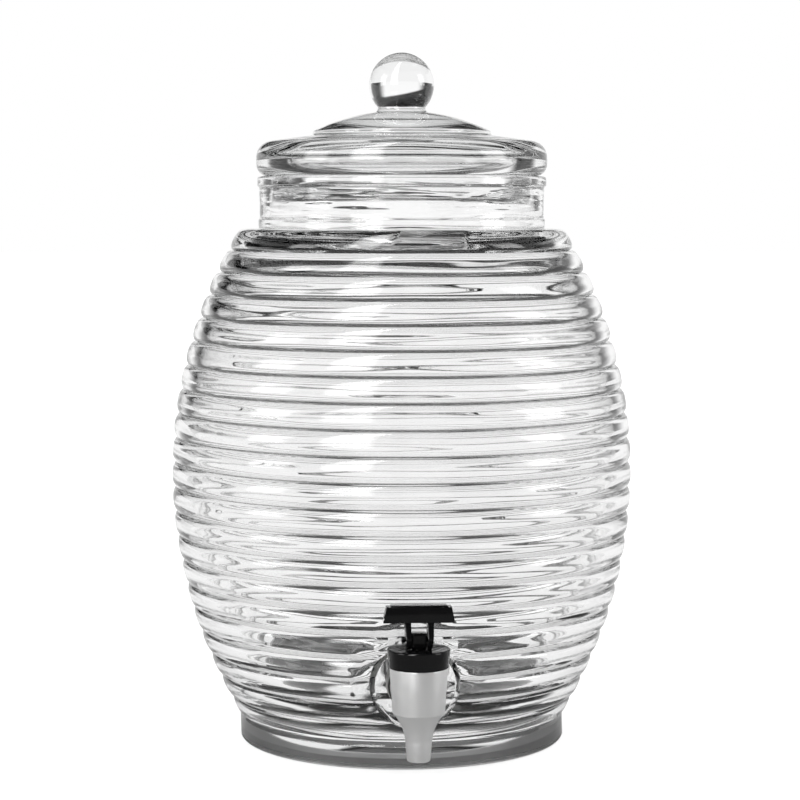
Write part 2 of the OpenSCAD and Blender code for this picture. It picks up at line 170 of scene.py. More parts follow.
def split_up(points, longest):
    """The same outline, with its long straight stretches split up."""
    fine = points[:1]
    for (x0, z0), (x1, z1) in zip(points, points[1:]):
        parts = math.ceil(math.hypot(x1 - x0, z1 - z0) / longest)
        fine += [(x0 + (x1 - x0) * k / parts, z0 + (z1 - z0) * k / parts) for k in range(1, parts + 1)]
    return fine


def trace(name, places):
    """A chain of edges through the places, drawn by one extrusion after the other."""
    bpy.ops.object.select_all(action="DESELECT")
    bpy.ops.mesh.primitive_plane_add(size=MM)
    piece = bpy.context.object
    piece.name = name
    bpy.ops.object.mode_set(mode="EDIT")
    bpy.ops.mesh.merge(type="CENTER")
    bpy.ops.transform.translate(value=places[0])
    for here, there in zip(places, places[1:]):
        bpy.ops.mesh.extrude_region_move(TRANSFORM_OT_translate={"value": there - here})
    return piece


def seal():
    """Merges the seams and poles of the piece in hand, turns its faces outward and leaves edit mode."""
    bpy.ops.mesh.select_all(action="SELECT")
    bpy.ops.mesh.remove_doubles(threshold=JOIN)
    bpy.ops.mesh.normals_make_consistent(inside=False)
    bpy.ops.object.mode_set(mode="OBJECT")


def turned(name, section, centre=(0, 0, 0), along=(0, 0, 1), out=(1, 0, 0), turns=((360, 96),)):
    """A turned piece: the section, as (radius, height) points, is traced and spun round its axis."""
    origin, along, out = Vector(centre), Vector(along), Vector(out)
    piece = trace(name, [origin + out * r + along * h for r, h in section])
    bpy.ops.mesh.select_all(action="SELECT")
    for angle, steps in turns:
        bpy.ops.mesh.spin(steps=steps, angle=math.radians(angle), center=origin, axis=along)
    seal()
    return piece


def slab(name, places, pull):
    """A flat piece: its outline through the places is traced, closed, filled and pulled to its thickness."""
    piece = trace(name, places + places[:1])
    bpy.ops.mesh.select_all(action="SELECT")
    bpy.ops.mesh.remove_doubles(threshold=JOIN)
    bpy.ops.mesh.edge_face_add()
    bpy.ops.mesh.extrude_region_move(TRANSFORM_OT_translate={"value": pull})
    seal()
    return piece


def drill(radius, vertices, location, rotation):
    """Round tool body that is long enough to go right through the piece."""
    bpy.ops.object.select_all(action="DESELECT")
    bpy.ops.mesh.primitive_cylinder_add(vertices=vertices, radius=radius, depth=40 * MM,
                                        location=location, rotation=rotation)
    return bpy.context.object


def in_hand(piece):
    """Makes the piece the only selected and active one."""
    bpy.ops.object.select_all(action="DESELECT")
    piece.select_set(True)
    bpy.context.view_layer.objects.active = piece


def carve(piece, tool, operation):
    """Joins, cuts or crosses the piece with a tool body, which is then gone."""
    in_hand(piece)
    step = piece.modifiers.new("carve", "BOOLEAN")
    step.operation = operation
    step.solver = "MANIFOLD"
    step.object = tool
    bpy.ops.object.modifier_apply(modifier=step.name)
    bpy.data.objects.remove(tool)


def round_edges(piece, width, segments=3, angle=30):
    """Rounds the sharp edges with a bevel."""
    in_hand(piece)
    step = piece.modifiers.new("round edges", "BEVEL")
    step.width = width
    step.segments = segments
    step.limit_method = "ANGLE"
    step.angle_limit = math.radians(angle)
    step.miter_outer = "MITER_ARC"
    bpy.ops.object.modifier_apply(modifier=step.name)


def dress(piece, finish, body, node):
    """Shades the piece, gives it its finish and puts it in its CAD node's place."""
    in_hand(piece)
    bpy.ops.object.shade_smooth_by_angle(angle=SMOOTH_ANGLE)
    piece.data.materials.clear()
    piece.data.materials.append(finish)
    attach(piece, body)
    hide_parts(node)


# Finishes

def new_finish(name):
    """A node material, with its tree and its main shader."""
    finish = bpy.data.materials.new(name)
    finish.use_nodes = True
    return finish, finish.node_tree, finish.node_tree.nodes["Principled BSDF"]


def feed(tree, socket, value):
    """Links an input to another node's output, or sets it to a number."""
    if isinstance(value, bpy.types.NodeSocket):
        tree.links.new(value, socket)
    else:
        socket.default_value = value


def reckon(tree, operation, first, second=0.0):
    """A Math node on two sockets or numbers."""
    step = tree.nodes.new("ShaderNodeMath")
    step.operation = operation
    feed(tree, step.inputs[0], first)
    feed(tree, step.inputs[1], second)
    return step.outputs[0]


def mix(tree, factor, first, second):
    """The first value where the factor is 0 and the second where it is 1."""
    step = tree.nodes.new("ShaderNodeMix")
    feed(tree, step.inputs["Factor"], factor)
    feed(tree, step.inputs["A"], first)
    feed(tree, step.inputs["B"], second)
    return step.outputs["Result"]


def fade(tree, value, start, end, before, after):
    """A smooth change from the level before the start to the level after the end."""
    step = tree.nodes.new("ShaderNodeMapRange")
    step.interpolation_type = "SMOOTHSTEP"
    for name, level in (("From Min", start), ("From Max", end), ("To Min", before), ("To Max", after)):
        step.inputs[name].default_value = level
    tree.links.new(value, step.inputs["Value"])
    return step.outputs["Result"]


def split_place(tree, kind):
    """The X, Y and Z outputs of a texture coordinate."""
    place = tree.nodes.new("ShaderNodeTexCoord")
    split = tree.nodes.new("ShaderNodeSeparateXYZ")
    tree.links.new(place.outputs[kind], split.inputs[0])
    return split.outputs


def noise_field(tree, scale, stretch=(1, 1, 1), detail=2.0):
    """Noise fixed to the piece, with its grain stretched along the axes."""
    place = tree.nodes.new("ShaderNodeTexCoord")
    mapping = tree.nodes.new("ShaderNodeMapping")
    mapping.inputs["Scale"].default_value = stretch
    field = tree.nodes.new("ShaderNodeTexNoise")
    field.inputs["Scale"].default_value = scale
    field.inputs["Detail"].default_value = detail
    tree.links.new(place.outputs["Object"], mapping.inputs["Vector"])
    tree.links.new(mapping.outputs["Vector"], field.inputs["Vector"])
    return field.outputs["Fac"]


def between(tree, field, low, high):
    """Maps a noise field, which mostly stays near its middle, to a range of values."""
    usual_low, usual_high = 0.3, 0.7
    step = tree.nodes.new("ShaderNodeMapRange")
    step.inputs["From Min"].default_value = usual_low
    step.inputs["From Max"].default_value = usual_high
    step.inputs["To Min"].default_value = low
    step.inputs["To Max"].default_value = high
    tree.links.new(field, step.inputs["Value"])
    return step.outputs["Result"]


def bump(tree, field, depth, strength=1.0, below=None):
    """A bump of that depth in metres, on top of the bump below it."""
    step = tree.nodes.new("ShaderNodeBump")
    step.inputs["Strength"].default_value = strength
    step.inputs["Distance"].default_value = depth
    tree.links.new(field, step.inputs["Height"])
    if below:
        tree.links.new(below, step.inputs["Normal"])
    return step.outputs["Normal"]


def mottle(tree, shader, field, first, second):
    """Lets the colour vary between two tones with a noise field."""
    tone = tree.nodes.new("ShaderNodeMix")
    tone.data_type = "RGBA"
    tone.inputs["A"].default_value = (*first, 1)
    tone.inputs["B"].default_value = (*second, 1)
    tree.links.new(field, tone.inputs["Factor"])
    tree.links.new(tone.outputs["Result"], shader.inputs["Base Color"])


def clear_glass():
    """Clear pressed glass: flow lines round the jar, streaks in its neck and a ring of scuffs under it."""
    streaks_start, streaks_full = SHOULDER_Z + 2 * MM, SHOULDER_Z + 16 * MM
    finish, tree, shader = new_finish("clear_glass")
    shader.inputs["Base Color"].default_value = (1, 1, 1, 1)
    shader.inputs["IOR"].default_value = 1.5
    shader.inputs["Transmission Weight"].default_value = 1
    haze = between(tree, noise_field(tree, scale=60), low=0.0, high=0.006)
    place = split_place(tree, "Object")
    underside = fade(tree, place["Z"], start=2.5 * MM, end=3.2 * MM, before=0.4, after=0)
    squares = [reckon(tree, "POWER", place[axis], 2) for axis in "XY"]
    from_axis = reckon(tree, "SQRT", reckon(tree, "ADD", *squares))
    outer_ring = fade(tree, from_axis, start=47 * MM, end=53 * MM, before=0, after=1)
    scuffs = reckon(tree, "MULTIPLY", underside, outer_ring)
    tree.links.new(reckon(tree, "ADD", haze, scuffs), shader.inputs["Roughness"])
    flow = bump(tree, noise_field(tree, scale=24, stretch=(1, 1, 6), detail=1), depth=0.05 * MM)
    over_root = fade(tree, place["Z"], start=streaks_start, end=streaks_full, before=0, after=1)
    under_rim = fade(tree, place["Z"], start=RIM_Z - 5 * MM, end=RIM_Z - 1 * MM, before=1, after=0)
    neck = reckon(tree, "MULTIPLY", over_root, under_rim)
    streaks = reckon(tree, "MULTIPLY", noise_field(tree, scale=32, stretch=(1, 1, 10), detail=1), neck)
    tree.links.new(bump(tree, streaks, depth=0.3 * MM, below=flow), shader.inputs["Normal"])
    depth = tree.nodes.new("ShaderNodeVolumeAbsorption")
    depth.inputs["Color"].default_value = (0.5, 0.52, 0.51, 1)
    depth.inputs["Density"].default_value = 1.5
    tree.links.new(depth.outputs[0], tree.nodes["Material Output"].inputs["Volume"])
    return finish


def satin_silver():
    """Satin metallised plastic with a fine grain."""
    finish, tree, shader = new_finish("satin_silver")
    shader.inputs["Metallic"].default_value = 0.65
    mottle(tree, shader, noise_field(tree, scale=90, stretch=(1, 1, 0.3)),
           first=(0.82, 0.82, 0.815), second=(0.90, 0.90, 0.895))
    shine = between(tree, noise_field(tree, scale=140), low=0.3, high=0.4)
    tree.links.new(shine, shader.inputs["Roughness"])
    grain = bump(tree, noise_field(tree, scale=5000, detail=1), depth=0.02 * MM, strength=0.25)
    tree.links.new(grain, shader.inputs["Normal"])
    return finish


def black_plastic(name, tones, shine, grain_depth):
    """Moulded black plastic, with its two tones, its range of roughness and the depth of its grain."""
    finish, tree, shader = new_finish(name)
    shader.inputs["Specular IOR Level"].default_value = 0.35
    mottle(tree, shader, noise_field(tree, scale=120), *tones)
    tree.links.new(between(tree, noise_field(tree, scale=300), *shine), shader.inputs["Roughness"])
    grain = bump(tree, noise_field(tree, scale=1500, detail=1), grain_depth, strength=0.3)
    tree.links.new(grain, shader.inputs["Normal"])
    return finish


def white_silicone():
    """Milky silicone rubber."""
    finish, tree, shader = new_finish("white_silicone")
    mottle(tree, shader, noise_field(tree, scale=150), first=(0.80, 0.80, 0.77), second=(0.88, 0.88, 0.86))
    shine = between(tree, noise_field(tree, scale=200), low=0.4, high=0.55)
    tree.links.new(shine, shader.inputs["Roughness"])
    return finish


glass = clear_glass()
silver = satin_silver()
gloss_black = black_plastic("gloss_black", tones=((0.004, 0.004, 0.0045), (0.008, 0.008, 0.008)),
                            shine=(0.07, 0.12), grain_depth=0.01 * MM)
nut_black = black_plastic("nut_plastic", tones=((0.028, 0.028, 0.029), (0.04, 0.04, 0.04)),
                          shine=(0.38, 0.5), grain_depth=0.03 * MM)
rubber = black_plastic("black_rubber", tones=((0.022, 0.022, 0.022), (0.036, 0.036, 0.035)),
                       shine=(0.6, 0.75), grain_depth=0.05 * MM)
silicone = white_silicone()


# Jar

def rib_height(s):
    """Height of a rib over the grooves, at the distance s from its middle along the barrel. It is nearly
    flat on top and steep at the grooves, with a crease between the ribs."""
    fullness = 2.5
    crease, crease_w = 1.3 * MM, 0.7 * MM
    half = RIB_PITCH / 2
    across = min(1, abs(s) / half)
    arch = RIB_DEPTH * (1 - across ** fullness) ** (1 / fullness)
    return arch - crease * max(0, 1 - (half - abs(s)) / crease_w)


def barrel_point(turn, reach):
    """Point of the jar's section at an angle round the barrel's arc."""
    return ARC_X + reach * math.cos(turn), BELLY_Z + reach * math.sin(turn)


def ribs_outline():
    """Outside of the barrel, from the lowest rib up to the shoulder, with more points near the grooves."""
    lowest_start, highest_end = -4.3 * MM, 6 * MM
    half = RIB_PITCH / 2
    flank = [-half] + [from_groove - half for from_groove in (0.12 * MM, 0.7 * MM, 1.2 * MM)]
    crown = [half * k / 6 for k in range(-4, 5)]
    offsets = flank + crown + [-s for s in reversed(flank[1:])]
    points = []
    for i in range(RIB_COUNT):
        middle = -RIB_END + i * RIB_STEP
        for s in offsets:
            if i == 0 and s < lowest_start:
                continue
            points.append(barrel_point(middle + s / BARREL_ARC_R, GROOVE_ARC_R + rib_height(s)))
            if i == RIB_COUNT - 1 and s > highest_end:
                break
    return points


def inner_outline():
    """Inside of the barrel, from the shoulder down to the floor. It ripples with the ribs, as blown glass
    does, and is smoother under the shoulder."""
    ripple, rows_per_rib, spanned = 0.6 * MM, 9, 0.99
    calm_start, calm_width, most_calm = 0.7, 0.2, 0.55
    rows = (RIB_COUNT - 1) * rows_per_rib
    span = RIB_END * spanned
    points = []
    for k in range(rows + 1):
        turn = span - 2 * span * k / rows
        calm = most_calm * held((turn / RIB_END - calm_start) / calm_width)
        wave = math.cos(2 * math.pi * turn / RIB_STEP) * (1 - calm)
        points.append(barrel_point(turn, INNER_ARC_R + ripple * wave))
    return points


def jar_section():
    """Closed half section of the jar: underside, foot, ribs, neck, inside wall and floor."""
    hollow_r, hollow_z, stand_r, edge_z = 66 * MM, 2.4 * MM, 78 * MM, 12.6 * MM
    foot_top_r, foot_top_z = FOOT_R - 1.8 * MM, FOOT_H + 0.8 * MM
    underside = rounded([(0, hollow_z, 0), (hollow_r, hollow_z, 12 * MM), (stand_r, 0, 4 * MM),
                         (FOOT_R, 0, 2 * MM), (FOOT_R, edge_z, 1.2 * MM), (foot_top_r, foot_top_z, 0)])
    root_z, neck_low_z, shoulder_in = SHOULDER_Z + 6 * MM, SHOULDER_Z + 7 * MM, SHOULDER_Z - 5 * MM
    neck_top_z, bead_z, spacing = RIM_Z - 6.3 * MM, RIM_Z - 5 * MM, 2.2 * MM
    wall_top_z = shoulder_in - 0.2 * MM
    neck = rounded([(END_RIB_X, SHOULDER_Z, 0), (ROOT_R, SHOULDER_Z, 1.6 * MM), (ROOT_R, root_z, 1 * MM),
                    (NECK_R, neck_low_z, 1 * MM), (NECK_R, neck_top_z, 1.2 * MM),
                    (BEAD_R, bead_z, 0.8 * MM), (BEAD_R, RIM_Z, 1.4 * MM), (NECK_BORE_R, RIM_Z, 1.8 * MM),
                    (NECK_BORE_R, shoulder_in, 3 * MM), (END_RIB_X - WALL, wall_top_z, 0)])
    inside = inner_outline()
    corner_r, rise_r, rise_z = inside[-1][0] - 2.5 * MM, 30 * MM, FLOOR_Z + 0.8 * MM
    floor = rounded([inside[-1] + (0,), (corner_r, FLOOR_Z, 5 * MM), (rise_r, rise_z, 40 * MM),
                     (0, rise_z, 0)])
    return underside + ribs_outline() + split_up(neck[1:-1], spacing) + neck[-1:] + inside + floor[1:]


def on_outside(x, y, z):
    """Tells the jar's outer wall from its inner one."""
    radius, neck_wall_r = math.hypot(x, y), NECK_BORE_R + 2 * MM
    if z > SHOULDER_Z:
        return radius > neck_wall_r
    return math.hypot(radius - ARC_X, z - BELLY_Z) > GROOVE_ARC_R - WALL / 2


def clear_boss(piece):
    """Lets the ribs and the inner ripple run out round the tap's boss, scoops a moat round the boss, which
    is shallower below it, and flattens the seat inside the jar."""
    moat, low_moat, flare, softness = 2.4 * MM, 1.2 * MM, math.tan(math.radians(32)), 1.2 * MM
    seat_flare, low_seat_flare = 0.8, 1.8
    margin, run_out, farthest = 0.5 * MM, 5.5 * MM, 46 * MM
    start = BOSS_R + margin
    for vertex in piece.data.vertices:
        x, y, z = vertex.co
        r = math.hypot(x, z - TAP_Z)
        if y > 0 or r > farthest or z < FOOT_H:
            continue
        outside = on_outside(x, y, z)
        radius = math.hypot(x, y)
        reach = math.hypot(radius - ARC_X, z - BELLY_Z)
        share = held((r - start) / run_out)
        share *= share * (3 - 2 * share)
        plain = GROOVE_ARC_R if outside else INNER_ARC_R
        step = (1 - share) * (plain - reach)
        stretch = 1 + step * (radius - ARC_X) / reach / radius
        y *= stretch
        vertex.co.x = x * stretch
        vertex.co.z = z + step * (z - BELLY_Z) / reach
        if outside:
            up = held(1 + (z - TAP_Z) / BOSS_R)
            scoop = BOSS_Y - low_moat - up * (moat - low_moat) + max(0, r - start) / flare
            vertex.co.y = soft_max(y, -scoop, softness)
        else:
            slack = max(0, r - SEAT_R - margin)
            vertex.co.y = -min(max(-y, SEAT_Y - low_seat_flare * slack), SEAT_Y + seat_flare * slack)


def boss_body():
    """Round flat boss with a slanted edge, which ends just outside the jar's inner wall."""
    root_y, side, face_r, skin = 88 * MM, 4 * MM, BOSS_R - 2.8 * MM, 1 * MM
    section = rounded([(0, root_y, 0), (BOSS_R, root_y, 0), (BOSS_R, BOSS_Y - side, 0),
                       (face_r, BOSS_Y, 0.8 * MM), (0, BOSS_Y, 0)])
    body = turned("boss", section, centre=(0, 0, TAP_Z), along=(0, -1, 0))
    wall = [(r + skin, z) for r, z in inner_outline()]
    carve(body, turned("inside", [(0, wall[0][1])] + wall + [(0, wall[-1][1])]), "DIFFERENCE")
    return body


def waver(piece, waves, above=0.0):
    """Lets a turned glass wall waver a little, as pressed glass does, except at the tap's seat and the foot.
    Each wave has a depth, a length round the piece, a height and a shift between outer and inner sides."""
    pole_r = 1 * MM
    seat_still, seat_run_out = 34 * MM, 20 * MM
    foot_still, foot_run_out = 2 * MM, 10 * MM
    for vertex in piece.data.vertices:
        x, y, z = vertex.co
        r = math.hypot(x, y)
        if r < pole_r or z < above:
            continue
        away = math.hypot(x, z - TAP_Z) if y < 0 else math.inf
        hold = held((away - seat_still) / seat_run_out)
        hold *= held((z - foot_still) / foot_run_out)
        inner = 0 if on_outside(x, y, z) else 1
        step = 0
        for depth, length, height, shift in waves:
            step += depth * noise.noise(Vector((x / length, y / length, z / height + inner * shift)))
        vertex.co.x += hold * step * x / r
        vertex.co.y += hold * step * y / r


def make_jar():
    """The ribbed barrel: spun finely past the tap and more coarsely round the rest."""
    near, near_steps, rest_steps = 36, 56, 90
    swell = (0.4 * MM, 60 * MM, 28 * MM, 0)
    flow_lines = (0.22 * MM, 60 * MM, 6 * MM, 30)
    neck_lines = (0.2 * MM, 35 * MM, 6 * MM, 30)
    start = math.radians(-90 - near / 2)
    piece = turned("jar", jar_section(), out=(math.cos(start), math.sin(start), 0),
                   turns=((near, near_steps), (360 - near, rest_steps)))
    waver(piece, (swell, flow_lines))
    waver(piece, (neck_lines,), above=SHOULDER_Z + 2 * MM)
    clear_boss(piece)
    carve(piece, boss_body(), "UNION")
    hole = drill(SHANK_HOLE_R, 96, location=(0, -(BOSS_Y + SEAT_Y) / 2, TAP_Z), rotation=(math.pi / 2, 0, 0))
    carve(piece, hole, "DIFFERENCE")
    dress(piece, glass, "jar", "glass_jar")


# Lid

LID_R = lid_high.x
LID_TOP_Z = RIM_Z + 18 * MM
LID_UNDER_Z = LID_TOP_Z - 7 * MM
PLUG_R = NECK_BORE_R - 1.2 * MM
PLUG_LOW_Z = lid_low.z
DOME_Z = LID_TOP_Z + 5 * MM
DOME_R = 50 * MM
DOME_H = 11.5 * MM
DOME_EDGE_H = 2.4 * MM
DOME_TOP_Z = DOME_Z + DOME_EDGE_H + DOME_H
DOME_SPHERE_R = (DOME_R ** 2 + DOME_H ** 2) / (2 * DOME_H)
KNOB_R = 18.2 * MM
KNOB_Z = lid_high.z - KNOB_R
KNOB_STEM_R = 13.4 * MM
KNOB_FILLET = 2.6 * MM


def dome_point(r):
    """Point of the lid's dome at a radius."""
    return r, DOME_TOP_Z - DOME_SPHERE_R + math.sqrt(DOME_SPHERE_R ** 2 - r ** 2)


def lid_section():
    """Closed half section of the lid: flat underside, plug, bull-nose rim, sloping top, dome and knob."""
    under_r, plug_in_r, plug_low_r = PLUG_R - 7.4 * MM, PLUG_R - 6.6 * MM, PLUG_R - 1 * MM
    rim_top_z, step_r = LID_TOP_Z + 0.6 * MM, DOME_R + 0.4 * MM
    dome_start, dome_steps = DOME_R * 0.9, 10
    foot_r, foot_z = dome_point(KNOB_STEM_R + KNOB_FILLET)
    low = rounded([(0, LID_UNDER_Z, 0), (under_r, LID_UNDER_Z, 2 * MM),
                   (plug_in_r, PLUG_LOW_Z, 2.2 * MM), (plug_low_r, PLUG_LOW_Z, 2.2 * MM),
                   (PLUG_R, RIM_Z, 1.5 * MM), (LID_R, RIM_Z, 7 * MM), (LID_R, rim_top_z, 9 * MM),
                   (step_r, DOME_Z, 1.4 * MM), (DOME_R, DOME_Z + DOME_EDGE_H, 1.2 * MM),
                   dome_point(dome_start) + (0,)], steps=8)
    dome = [dome_point(dome_start + (foot_r - dome_start) * k / dome_steps) for k in range(1, dome_steps)]
    fillet = arc((foot_r, foot_z + KNOB_FILLET), KNOB_FILLET, 270, 180, 6)
    knob_start = -math.degrees(math.acos(KNOB_STEM_R / KNOB_R))
    return low + dome + fillet + arc((0, KNOB_Z), KNOB_R, knob_start, 90, 30)


def make_lid():
    """The loose lid, spun in one piece with its knob."""
    swell = (0.2 * MM, 45 * MM, 45 * MM, 0)
    piece = turned("lid", lid_section(), turns=((360, 144),))
    waver(piece, (swell,))
    dress(piece, glass, "lid", "glass_lid")


# Tap

def round_tap(name, section, steps=64):
    """A piece turned on the tap's upright axis."""
    return turned(name, section, centre=(0, TAP_Y, 0), turns=((360, steps),))


def round_shank(name, section, steps=64):
    """A piece turned on the shank's axis, with its heights counted outward from the jar's axis."""
    return turned(name, section, centre=(0, 0, TAP_Z), along=(0, -1, 0), turns=((360, steps),))


def block_on_tap(width, depth, low_z, high_z):
    """A block on the tap's upright axis."""
    bpy.ops.object.select_all(action="DESELECT")
    bpy.ops.mesh.primitive_cube_add(size=1, location=(0, TAP_Y, (low_z + high_z) / 2),
                                    scale=(width, depth, high_z - low_z))
    bpy.ops.object.transform_apply(location=True, rotation=True, scale=True)
    return bpy.context.object


BARREL_R = 15.1 * MM
BARREL_LOW_R = 13.6 * MM
BARREL_LOW_Z = TAP_Z - 8.8 * MM
BARREL_TOP_Z = bonnet_low.z
COLLAR_R = 13.4 * MM
CHAMBER_R = 11 * MM
CHAMBER_RISE = 5 * MM
OUTLET_R = 4.6 * MM
TIP_R = 6 * MM
WAIST_R = 6.8 * MM
FUNNEL_R = 25 * MM
INLET_R = 5.5 * MM
THROAT_R = 9.5 * MM
FLANGE_R = 13.5 * MM
FLANGE_Y = BOSS_Y + 2.5 * MM
FLANGE_FRONT_Y = FLANGE_Y + 3.5 * MM
SHANK_END_Y = -tap_high.y


def barrel_section():
    """Outside of the nozzle, funnel, barrel and collar."""
    funnel_end = math.degrees(math.acos(1 - (BARREL_LOW_R - WAIST_R) / FUNNEL_R))
    funnel_z = BARREL_LOW_Z - FUNNEL_R * math.sin(math.radians(funnel_end))
    funnel = arc((WAIST_R + FUNNEL_R, funnel_z), FUNNEL_R, 180, 180 - funnel_end, 14)
    nozzle = [(0, tap_low.z, 0), (TIP_R, tap_low.z, 0.8 * MM)] + [point + (0,) for point in funnel[:-1]]
    barrel = [(BARREL_LOW_R, BARREL_LOW_Z, 0.5 * MM), (BARREL_R, BARREL_TOP_Z, 0.35 * MM)]
    collar = [(COLLAR_R, BARREL_TOP_Z, 0.2 * MM), (COLLAR_R, tap_high.z, 0.4 * MM), (0, tap_high.z, 0)]
    return rounded(nozzle + barrel + collar)


def bore_section():
    """The drink's way down through the barrel and out of the nozzle."""
    return [(0, tap_low.z - OVER), (OUTLET_R, tap_low.z - OVER), (OUTLET_R, BARREL_LOW_Z),
            (CHAMBER_R, BARREL_LOW_Z + CHAMBER_RISE), (CHAMBER_R, tap_high.z + OVER), (0, tap_high.z + OVER)]


def shank_section():
    """Threaded shank, flange and throat, from inside the jar out to the barrel."""
    pitch, depth, lead = 2 * MM, 0.7 * MM, 0.8 * MM
    crest_start, crest_end, groove_start = 0.35, 0.4, 0.8
    turns = int((SEAT_Y - SHANK_END_Y) / pitch)
    thread = []
    for k in range(turns):
        y = SHANK_END_Y + lead + k * pitch
        thread += [(SHANK_R - depth, y), (SHANK_R, y + crest_start * pitch),
                   (SHANK_R, y + crest_end * pitch), (SHANK_R - depth, y + groove_start * pitch)]
    thread_end, throat_end = SEAT_Y + 1 * MM, -TAP_Y - 8 * MM
    flange = rounded([(SHANK_R, thread_end, 0), (SHANK_R, FLANGE_Y, 0.4 * MM),
                      (FLANGE_R, FLANGE_Y, 0.5 * MM), (FLANGE_R, FLANGE_FRONT_Y, 0.9 * MM),
                      (THROAT_R, FLANGE_FRONT_Y, 0.8 * MM), (THROAT_R, throat_end, 0), (0, throat_end, 0)])
    return [(0, SHANK_END_Y), (SHANK_R - depth, SHANK_END_Y)] + thread + flange


def make_tap_body():
    """Satin silver barrel, funnel and nozzle in one piece with the flange and the threaded shank."""
    piece = round_tap("tap_barrel", barrel_section(), 96)
    carve(piece, round_shank("shank", shank_section()), "UNION")
    carve(piece, round_tap("bore", bore_section()), "DIFFERENCE")
    carve(piece, round_shank("inlet", plain_rod(INLET_R, SHANK_END_Y - OVER, -TAP_Y)), "DIFFERENCE")
    dress(piece, silver, "jar", "tap_body")


def make_gaskets():
    """Rubber washer under the flange, and silicone washer on the seat inside the jar."""
    hole_r = SHANK_R + FIT
    for name, node, low, high, edge, finish, slot in (
            ("flange_washer", "outer_gasket", outer_low, outer_high, 0.8 * MM, rubber, "black_rubber"),
            ("seat_washer", "inner_gasket", inner_low, inner_high, 0.6 * MM, silicone, "white_silicone")):
        near, far = -high.y, -low.y
        corners = [(hole_r, near, edge), (high.x, near, edge), (high.x, far, edge), (hole_r, far, edge)]
        piece = round_shank(name, ring(corners))
        dress(piece, finish, "jar", node)


def make_lock_nut():
    """Six-sided plastic nut with its inner corners turned off."""
    near, far, corner_r = -nut_high.y, -nut_low.y, nut_high.x
    turns = [k * math.pi / 3 for k in range(6)]
    corners = [Vector((corner_r * math.cos(t), -far, TAP_Z + corner_r * math.sin(t))) for t in turns]
    piece = slab("shank_nut", corners, pull=(0, far - near, 0))
    middle_r = (corner_r + (nut_high.z - TAP_Z)) / 2
    turned_off = [(0, near - OVER), (middle_r - OVER, near - OVER), (middle_r + far - near, far),
                  (middle_r, far + OVER), (0, far + OVER)]
    carve(piece, round_shank("turned_off", turned_off), "INTERSECT")
    carve(piece, round_shank("hole", plain_rod(SHANK_R + FIT, near - OVER, far + OVER)), "DIFFERENCE")
    round_edges(piece, 0.4 * MM)
    dress(piece, nut_black, "jar", "lock_nut")


STEM_R = 3.6 * MM
STEM_HOLE_R = STEM_R + 0.3 * MM
PLATE_Z = BONNET_Z - 2.6 * MM


def make_bonnet():
    """Glossy black screw cap on the barrel, with the stem's hole in its top."""
    bore, top_r = COLLAR_R + FIT, bonnet_high.x
    low_r = top_r - 0.9 * MM
    section = ring([(STEM_HOLE_R, PLATE_Z, 0.2 * MM), (bore, PLATE_Z, 0.2 * MM),
                    (bore, BARREL_TOP_Z, 0.2 * MM), (low_r, BARREL_TOP_Z, 0.35 * MM),
                    (top_r, BONNET_Z, 0.8 * MM), (STEM_HOLE_R, BONNET_Z, 0.4 * MM)])
    piece = round_tap("bonnet_cap", section, 96)
    dress(piece, gloss_black, "jar", "bonnet")


def pin_hole(slack):
    """Tool body for the pin's hole, with some slack round the pin."""
    return drill(PIN_R + slack, 32, location=(0, TAP_Y, PIVOT_Z), rotation=(0, math.pi / 2, 0))


def make_stem():
    """Stem with a round-cornered head for the pin, a shaft and a button in the seat cup."""
    button_r, button_top_z = stem_high.x, stem_low.z + 3 * MM
    head_w, head_z = 8.2 * MM, BONNET_Z + 0.3 * MM
    piece = round_tap("lift_stem", rounded([
        (0, stem_low.z, 0), (button_r, stem_low.z, 0.4 * MM), (button_r, button_top_z, 0.4 * MM),
        (STEM_R, button_top_z, 0.3 * MM), (STEM_R, PIVOT_Z, 0), (0, PIVOT_Z, 0)]))
    head = block_on_tap(head_w, head_w, head_z, stem_high.z)
    bpy.ops.object.mode_set(mode="EDIT")
    bpy.ops.mesh.select_all(action="DESELECT")
    bpy.ops.object.mode_set(mode="OBJECT")
    for edge in head.data.edges:
        a, b = (head.data.vertices[v].co for v in edge.vertices)
        edge.select = abs(a.z - b.z) > head_w / 2
    bpy.ops.object.mode_set(mode="EDIT")
    bpy.ops.mesh.bevel(offset=1.2 * MM, segments=5)
    bpy.ops.object.mode_set(mode="OBJECT")
    carve(piece, head, "UNION")
    carve(piece, pin_hole(slack=0.06 * MM), "DIFFERENCE")
    round_edges(piece, 0.3 * MM, segments=2)
    dress(piece, gloss_black, "stem", "valve_stem")


